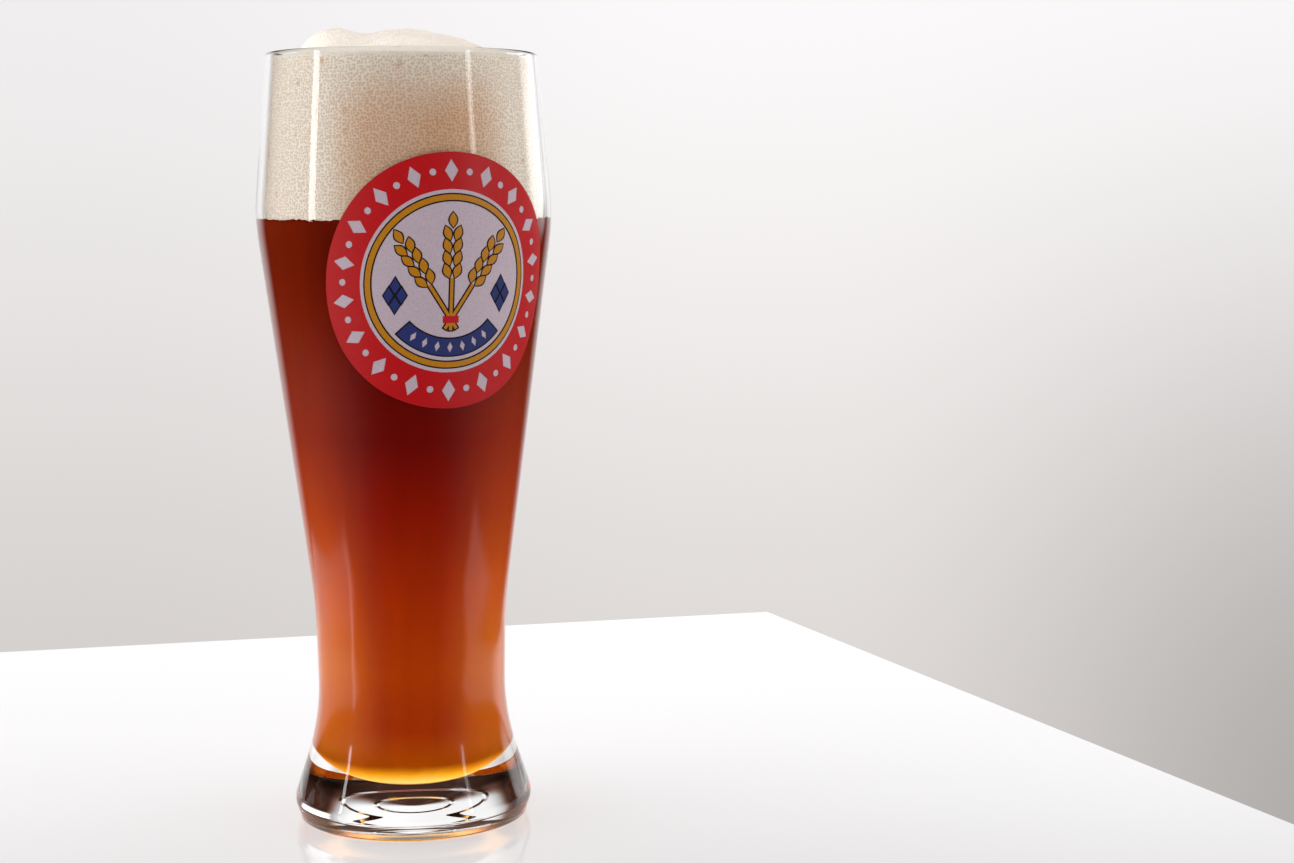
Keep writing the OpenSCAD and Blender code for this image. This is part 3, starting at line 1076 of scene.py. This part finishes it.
@dataclass
class Decal:
    """The round decal, drawn flat in millimetres from its centre and then laid on the glass."""

    shape: GlassShape
    diameter: float = 70.4
    centre_z: float = 157.0
    turn: float = math.radians(18)
    gap: float = 0.06
    coat_t: float = 0.05
    border_w: float = 10.1
    lozenges: int = 18
    lozenge_h: float = 6.2
    lozenge_w: float = 3.8
    dot_d: float = 1.9
    dot_steps: int = 20
    field_gap: float = 1.4
    band_w: float = 1.5
    line_w: float = 0.4
    grain_l: float = 4.1
    grain_w: float = 2.1
    grain_pairs: int = 4
    ear_lean: float = 33.0
    tie_drop: float = 10.4
    tie_shares: Range = (5.0, 2.2)
    stalk_l: float = 11.4
    stalk_tail: float = 3.0
    stalk_w: float = 0.9
    ribbon_w: float = 4.6
    ribbon_half_turn: float = 46.0
    diamonds: int = 7
    diamonds_across: float = 3.0
    blue_h: float = 4.4
    blue_w: float = 2.7
    blue_out: float = 15.4
    blue_drop: float = 3.6
    grain_pitch_share: float = 0.84
    grain_foot_share: float = 0.36
    grain_tilt: float = 20.0
    edge_step: float = 0.9
    mesh_step: float = 1.3
    row_share: float = 0.866
    least: float = 1e-5
    sharp: float = math.radians(40)

    def __post_init__(self) -> None:
        """Works out the radii that follow from the sizes."""
        self.outer_r = self.diameter / 2
        self.field_r = self.outer_r - self.border_w
        self.band_outer_r = self.field_r - self.field_gap
        self.band_inner_r = self.band_outer_r - self.band_w
        self.ribbon_r = self.band_inner_r - self.ribbon_w / 2 - self.field_gap - self.line_w

    @staticmethod
    def circle(radius: float, count: int = 180, centre: Point = (0.0, 0.0)) -> list[Point]:
        """Points of a circle."""
        return [(centre[0] + radius * math.sin(math.tau * i / count),
                 centre[1] + radius * math.cos(math.tau * i / count)) for i in range(count)]

    @staticmethod
    def placed(points: Sequence[Point], turn: float, at: Point) -> list[Point]:
        """Turns points clockwise by degrees and moves them.

        Args:
            points: The points.
            turn: The turn in degrees.
            at: The place of their own centre.

        Returns:
            The placed points.
        """
        c = math.cos(math.radians(turn))
        s = math.sin(math.radians(turn))
        return [(at[0] + x * c + y * s, at[1] + y * c - x * s) for x, y in points]

    @staticmethod
    def anticlockwise(points: list[Point]) -> list[Point]:
        """Turns a closed outline's order so that its inside lies on the left."""
        area = sum(x0 * y1 - x1 * y0 for (x0, y0), (x1, y1) in zip(points, [*points[1:], points[0]]))
        return points if area > 0 else points[::-1]

    @staticmethod
    def lozenge(width: float, height: float) -> list[Point]:
        """A lozenge that stands on its point."""
        return [(0, height / 2), (width / 2, 0), (0, -height / 2), (-width / 2, 0)]

    @staticmethod
    def grain(length: float, width: float, steps: int = 10) -> list[Point]:
        """A grain that points up from its lower tip."""
        side = [(width / 2 * math.sin(math.pi * i / steps), length * i / steps) for i in range(steps + 1)]
        return side[:-1] + [(-x, y) for x, y in side[:0:-1]]

    def polar(self, radius: float, turn: float) -> Point:
        """The place at a radius and a clockwise turn in degrees from straight up."""
        return (radius * math.sin(math.radians(turn)), radius * math.cos(math.radians(turn)))

    def ears(self, edge: float) -> Shapes:
        """The grains and stalks of the three ears.

        Args:
            edge: How far each shape grows all round.

        Returns:
            The shapes.
        """
        shapes = []
        half = self.stalk_w / 2 + edge
        for lean in (-self.ear_lean, 0.0, self.ear_lean):
            low = -self.stalk_tail - edge
            stalk = [(-half, low), (half, low), (half, self.stalk_l), (-half, self.stalk_l)]
            shapes.append(self.placed(stalk, lean, (0, -self.tie_drop)))
            for i in range(self.grain_pairs + 1):
                for side in (0,) if i == self.grain_pairs else (-1, 1):
                    along = self.stalk_l + i * self.grain_l * self.grain_pitch_share
                    tilt = lean + side * self.grain_tilt
                    x, y = self.polar(along, lean)
                    aside = self.polar(side * self.grain_w * self.grain_foot_share, lean + 90)
                    back = self.polar(edge, tilt)
                    at = (x + aside[0] - back[0], y - self.tie_drop + aside[1] - back[1])
                    grown = self.grain(self.grain_l + 2 * edge, self.grain_w + 2 * edge)
                    shapes.append(self.placed(grown, tilt, at))
        return shapes

    def ribbon(self, edge: float, steps: int = 24) -> Shapes:
        """The bent ribbon.

        Args:
            edge: How far it grows all round.
            steps: The number of steps from its middle to an end.

        Returns:
            Its one shape.
        """
        half = self.ribbon_half_turn + math.degrees(edge / self.ribbon_r)
        turns = [180 + half * i / steps for i in range(-steps, steps + 1)]
        sides = ((self.ribbon_w / 2 + edge, turns), (-self.ribbon_w / 2 - edge, turns[::-1]))
        return [[self.polar(self.ribbon_r + off, turn) for off, way in sides for turn in way]]

    def blue_lozenges(self, edge: float) -> Shapes:
        """Four lozenges on each side of the ears.

        Args:
            edge: How far each shape grows all round.

        Returns:
            The shapes.
        """
        shapes = []
        height = self.blue_h + 2 * edge * self.blue_h / self.blue_w
        for side in (-1, 1):
            for across, up in ((0, 1), (1, 0), (0, -1), (-1, 0)):
                x = side * self.blue_out + across * (self.blue_w / 2 + self.line_w)
                y = up * (self.blue_h / 2 + self.line_w) - self.blue_drop
                shapes.append(self.placed(self.lozenge(self.blue_w + 2 * edge, height), 0, (x, y)))
        return shapes

    def drawing(self) -> dict[str, Shapes]:
        """Every named shape of the decal.

        Returns:
            The shapes by name.
        """
        middle = self.outer_r - self.border_w / 2
        pitch = 360 / self.lozenges
        cuts = []
        for i in range(self.lozenges):
            lozenge = self.lozenge(self.lozenge_w, self.lozenge_h)
            cuts.append(self.placed(lozenge, i * pitch, self.polar(middle, i * pitch)))
            cuts.append(self.circle(self.dot_d / 2, self.dot_steps, self.polar(middle, (i + 0.5) * pitch)))
        diamond_w = self.ribbon_w / self.diamonds_across
        diamond = self.lozenge(diamond_w, 2 * diamond_w)
        step = 2 * self.ribbon_half_turn / (self.diamonds + 1)
        turns = [180 - self.ribbon_half_turn + i * step for i in range(1, self.diamonds + 1)]
        tie_w, tie_h = (share * self.stalk_w / 2 for share in self.tie_shares)
        tie = [(-tie_w, -tie_h), (tie_w, -tie_h), (tie_w, tie_h), (-tie_w, tie_h)]
        return {
            "disc": [self.circle(self.outer_r)],
            "field": [self.circle(self.field_r)],
            "cuts": cuts,
            "band_rim": [self.circle(self.band_outer_r + self.line_w)],
            "band": [self.circle(self.band_outer_r)],
            "bore": [self.circle(self.band_inner_r)],
            "bore_rim": [self.circle(self.band_inner_r - self.line_w)],
            "ears": self.ears(0.0),
            "ear_rims": self.ears(self.line_w),
            "tie": [self.placed(tie, 0, (0, -self.tie_drop))],
            "ribbon": self.ribbon(0.0),
            "ribbon_rim": self.ribbon(self.line_w),
            "diamonds": [self.placed(diamond, turn, self.polar(self.ribbon_r, turn)) for turn in turns],
            "blue": self.blue_lozenges(0.0),
            "blue_rims": self.blue_lozenges(self.line_w),
        }

    @staticmethod
    def covers(coat: Coat, names: set[str]) -> bool:
        """Tells whether a coat covers a place.

        Args:
            coat: The coat.
            names: The names of the shapes that the place lies in.

        Returns:
            True if it does.
        """
        if coat is Coat.WHITE:
            return "disc" in names
        if coat is Coat.RED:
            return "tie" in names or not names & {"field", "cuts"}
        if "tie" in names:
            return False
        if coat is Coat.BLACK:
            ring = "band_rim" in names and "bore_rim" not in names
            return ring or bool(names & {"ear_rims", "ribbon_rim", "blue_rims"} and "diamonds" not in names)
        if coat is Coat.GOLD:
            return "ears" in names or ("band" in names and "bore" not in names)
        return "blue" in names or ("ribbon" in names and "diamonds" not in names)

    def triangles(self) -> tuple[list[Point], list[Named]]:
        """Cuts the drawing into triangles that no outline crosses.

        Returns:
            The points, and each triangle with the names of the shapes that it lies in.
        """
        points: list[Vector] = []
        loops: list[list[int]] = []
        owners: list[str] = []
        for name, outlines in self.drawing().items():
            for outline in outlines:
                fine = self.anticlockwise(finely([*outline, outline[0]], self.edge_step)[:-1])
                loops.append(list(range(len(points), len(points) + len(fine))))
                owners.append(name)
                points += [Vector(p) for p in fine]
        pitch = self.mesh_step * self.row_share
        rows = math.ceil(self.outer_r / pitch)
        for row in range(-rows, rows + 1):
            y = row * pitch
            for column in range(-rows, rows + 1):
                x = (column + 0.5 * (row % 2)) * self.mesh_step
                if math.hypot(x, y) < self.outer_r - self.mesh_step / 2:
                    points.append(Vector((x, y)))
        made = geometry.delaunay_2d_cdt(points, [], loops, 1, self.least, True)
        cut, faces, origins = made[0], made[2], made[5]
        named = [(tuple(face), {owners[i] for i in origin}) for face, origin in zip(faces, origins)]
        return [tuple(p) for p in cut], named

    def on_glass(self, point: Point, off: float) -> Place:
        """Lays a point of the drawing on the glass.

        Args:
            point: The place in the drawing.
            off: How far it stands off the glass.

        Returns:
            The place in millimetres.
        """
        rise = self.shape.belly_z - self.shape.waist_z
        run = (self.shape.belly_d - self.shape.waist_d) / 2
        z = self.centre_z + point[1] * rise / math.hypot(rise, run)
        r = radius_at(self.shape.outside, z)
        slope = (radius_at(self.shape.outside, z + 1) - radius_at(self.shape.outside, z - 1)) / 2
        lean = math.hypot(1, slope)
        angle = point[0] / r + self.turn
        out = r + off / lean
        return (out * math.sin(angle), -out * math.cos(angle), z - off * slope / lean)

    def coat(self, coat: Coat, points: Sequence[Point], named: Sequence[Named]) -> Object:
        """Builds and dresses one coat of ink.

        Args:
            coat: The coat.
            points: The drawing's points.
            named: Its triangles, each with the names of the shapes that it lies in.

        Returns:
            The piece.
        """
        faces = [face for face, names in named if self.covers(coat, names)]
        used = sorted({i for face in faces for i in face})
        place = {old: new for new, old in enumerate(used)}
        count = len(used)
        low = self.gap + self.coat_t * coat.layer
        places = [self.on_glass(points[i], low + self.coat_t) for i in used]
        places += [self.on_glass(points[i], low) for i in used]
        upper = [tuple(place[i] for i in face) for face in faces]
        lower = [tuple(i + count for i in reversed(face)) for face in upper]
        edges = {(a, b) for face in upper for a, b in zip(face, (*face[1:], face[0]))}
        sides = [(b, a, a + count, b + count) for a, b in sorted(edges) if (b, a) not in edges]
        piece = make_piece(f"decal_{coat.name.lower()}", places, [*upper, *lower, *sides])
        piece.data.set_sharp_from_angle(angle=self.sharp)
        return dress(piece, Ink(coat).build(), coat.node)

    def build(self) -> Iterator[Object]:
        """Builds the coats in their order."""
        points, named = self.triangles()
        yield from (self.coat(coat, points, named) for coat in Coat)


# Studio


@dataclass
class Studio:
    """A pale floor, a pale surround that is darker in front, soft lamps and the camera.

    A Shade gives the range of a direction's part, or of its nearness to another, and the light there.
    """

    distance: float = 640.56
    eye_z: float = 183.29
    yaw: float = math.radians(6.193)
    pitch: float = math.radians(6.4039)
    roll: float = math.radians(-0.2526)
    sensor: float = 36.0
    lens: float = 61.605
    table_top: tuple[Point, ...] = ((152.0, 285.0), (-262.0, 229.0), (-242.0, -79.5), (265.0, -97.0))
    top_t: float = 30.0
    clear: float = 0.02
    floor_colour: Colour = (0.40, 0.40, 0.405)
    floor_glow: float = 0.42
    bright_turn: float = math.radians(3)
    back_level: float = 1.15
    clip: Range = (0.01, 20.0)
    floor_roughness: float = 0.1
    floor_sharp: float = math.radians(30)
    behind: Shade = ((0.74, 0.9), (0.05, 1.0))
    behind_top: Shade = ((0.24, 0.35), (1.0, 0.04))
    overhead: Shade = ((0.6, 0.95), (0.0, 0.9))
    front: Shade = ((-0.5, 0.0), (0.45, 0.0))
    front_rise: Range = (0.25, 0.45)
    window_turn: float = math.radians(132)
    window_rise: float = math.radians(9)
    window_edge: Shade = ((0.95, 0.985), (0.0, 2.0))
    window_low: Shade = ((0.08, 0.14), (1.0, 0.0))
    rise: Range = (-0.3, 0.12)
    pale_levels: Range = (0.70, 0.975)
    left_fall: Shade = ((-0.15, 0.15), (0.905, 1.0))
    right_fall: Range = (0.18, 0.42)
    right_rise: Shade = ((-0.3, 0.1), (0.42, 0.02))
    left_light: Shade = ((-0.95, -0.3), (3.5, 0.7))
    right_light: Shade = ((0.3, 0.95), (0.7, 2.9))
    light_rise: Shade = ((0.1, 0.8), (1.0, 0.5))
    tint_levels: Range = (0.04, 0.6)
    dark_tint: Colour = (1.0, 0.42, 0.28)
    low_tint: Colour = (1.0, 0.95, 0.925)
    high_tint: Colour = (1.0, 0.98, 0.985)
    aim_z: float = 130.0
    lamps: tuple[tuple[str, Place, Point, float], ...] = (
        ("top_lamp", (-300.0, 300.0, 1200.0), (900.0, 900.0), 1.0),
        ("left_strip", (-900.0, -240.0, 350.0), (60.0, 500.0), 0.65),
        ("right_strip", (760.0, -500.0, 330.0), (50.0, 400.0), 0.25),
    )

    def camera(self) -> None:
        """Sets the camera at the photograph's place."""
        data = bpy.data.cameras.new("camera")
        data.sensor_width = self.sensor
        data.lens = self.lens
        data.clip_start, data.clip_end = self.clip
        view = Vector((math.sin(self.yaw) * math.cos(self.pitch), math.cos(self.yaw) * math.cos(self.pitch),
                       -math.sin(self.pitch)))
        right = Vector((math.cos(self.yaw), -math.sin(self.yaw), 0))
        up = right.cross(view)
        right, up = (right * math.cos(self.roll) + up * math.sin(self.roll),
                     up * math.cos(self.roll) - right * math.sin(self.roll))
        camera = bpy.data.objects.new("camera", data)
        turned = Matrix((right, up, -view)).transposed().to_4x4()
        camera.matrix_world = Matrix.Translation((0, -self.distance * MM, self.eye_z * MM)) @ turned
        bpy.context.scene.collection.objects.link(camera)
        bpy.context.scene.camera = camera

    @staticmethod
    def seen(path: Sequence[NodeSocket]) -> tuple[NodeSocket, ...]:
        """The rays that the eye follows, straight, by a reflection or through the glass."""
        return path["Is Camera Ray"], path["Is Glossy Ray"], path["Is Transmission Ray"]

    def floor(self) -> Object:
        """Builds the pale table top that stands for the floor.

        Returns:
            The floor.
        """
        places = [(x, y, z) for z in (-self.clear, -self.top_t) for x, y in self.table_top]
        faces = [(0, 1, 2, 3), (7, 6, 5, 4), *[(i, i + 4, (i + 1) % 4 + 4, (i + 1) % 4) for i in range(4)]]
        piece = make_piece("floor", places, faces)
        piece.data.set_sharp_from_angle(angle=self.floor_sharp)
        graph = Surface("floor")
        glow = graph.times(graph.most(*self.seen(graph.add("LightPath").outputs)), self.floor_glow)
        piece.data.materials.append(graph.done(Base_Color=self.floor_colour, Roughness=self.floor_roughness,
                                               Emission_Color=(1, 1, 1), Emission_Strength=glow))
        return piece

    @staticmethod
    def way(turn: float, rise: float = 0.0) -> Place:
        """A direction, by its turn from the front towards +X and its rise."""
        return (math.sin(turn) * math.cos(rise), -math.cos(turn) * math.cos(rise), math.sin(rise))

    def surround(self) -> None:
        """Makes the world: a pale backdrop to the eye and in the glass, and plain light from the sides."""
        world = bpy.data.worlds.new("surround")
        world.use_nodes = True
        bpy.context.scene.world = world
        graph = Graph(world.node_tree)
        path = graph.add("LightPath").outputs
        eye, glossy, through = self.seen(path)
        way = graph.coords("Generated")
        across, _, up = graph.axes(way)
        toward = graph.vector("DOT_PRODUCT", way, in1=self.way(math.pi + self.bright_turn))
        bright = graph.times(graph.span(toward, *self.behind), graph.span(up, *self.behind_top),
                             self.back_level)
        reflected = graph.times(glossy, graph.math("SUBTRACT", 1.0, through))
        window = graph.vector("DOT_PRODUCT", way, in1=self.way(self.window_turn, self.window_rise))
        glow = graph.times(graph.most(reflected, graph.span(up, *self.window_low)),
                           graph.span(window, *self.window_edge))
        front = graph.times(graph.span(toward, *self.front), graph.span(up, self.front_rise))
        in_glass = graph.most(bright, graph.span(up, *self.overhead), glow, front)
        right_fall = graph.times(graph.span(across, self.right_fall), graph.span(up, *self.right_rise))
        pale = graph.times(graph.span(across, *self.left_fall), graph.math("SUBTRACT", 1.0, right_fall),
                           graph.span(up, self.rise, self.pale_levels))
        kept = graph.math("ADD", eye, graph.times(graph.math("SUBTRACT", 1.0, eye), in_glass))
        first = graph.math("LESS_THAN", path["Diffuse Depth"], 0.5)
        seen = graph.times(graph.most(eye, glossy, through), first)
        unseen = graph.math("SUBTRACT", 1.0, seen)
        sides = graph.most(graph.span(across, *self.left_light), graph.span(across, *self.right_light))
        plain = graph.times(sides, graph.span(up, *self.light_rise))
        strength = graph.math("ADD", graph.times(seen, pale, kept), graph.times(unseen, plain))
        shade = graph.span(graph.most(unseen, eye, in_glass), self.tint_levels)
        pale_tint = graph.mix(graph.span(up, self.rise), self.low_tint, self.high_tint)
        tint = graph.mix(shade, self.dark_tint, pale_tint)
        graph.fill(world.node_tree.nodes["Background"], Color=tint, Strength=strength)

    def lamp(self, name: str, place: Place, size: Point, watts: float) -> Object:
        """Adds a soft lamp that faces the glass.

        Args:
            name: The lamp's name.
            place: Its place in millimetres.
            size: Its width and height in millimetres.
            watts: Its power.

        Returns:
            The lamp.
        """
        data = bpy.data.lights.new(name, "AREA")
        data.shape = "RECTANGLE"
        data.size = size[0] * MM
        data.size_y = size[1] * MM
        data.energy = watts
        lamp = bpy.data.objects.new(name, data)
        lamp.location = Vector(place) * MM
        aim = Vector((0, 0, self.aim_z)) * MM - lamp.location
        lamp.rotation_euler = aim.to_track_quat("-Z", "Y").to_euler()
        lamp.visible_camera = False
        bpy.context.scene.collection.objects.link(lamp)
        return lamp

    def build(self) -> None:
        """Builds the whole studio."""
        bpy.context.scene.view_settings.view_transform = "Standard"
        self.camera()
        self.floor()
        self.surround()
        for lamp in self.lamps:
            self.lamp(*lamp)


def main() -> None:
    """Builds the studio and every piece in order."""
    logging.basicConfig(level=logging.INFO, format="%(name)s: %(message)s")
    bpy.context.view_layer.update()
    Studio().build()
    shape = GlassShape()
    for piece in (Vessel(shape).build(), Beer(shape).build(), FoamHead(shape).build(), *Decal(shape).build()):
        LOG.info("%s: %d faces", piece.name, len(piece.data.polygons))


if __name__ == "__main__":
    main()
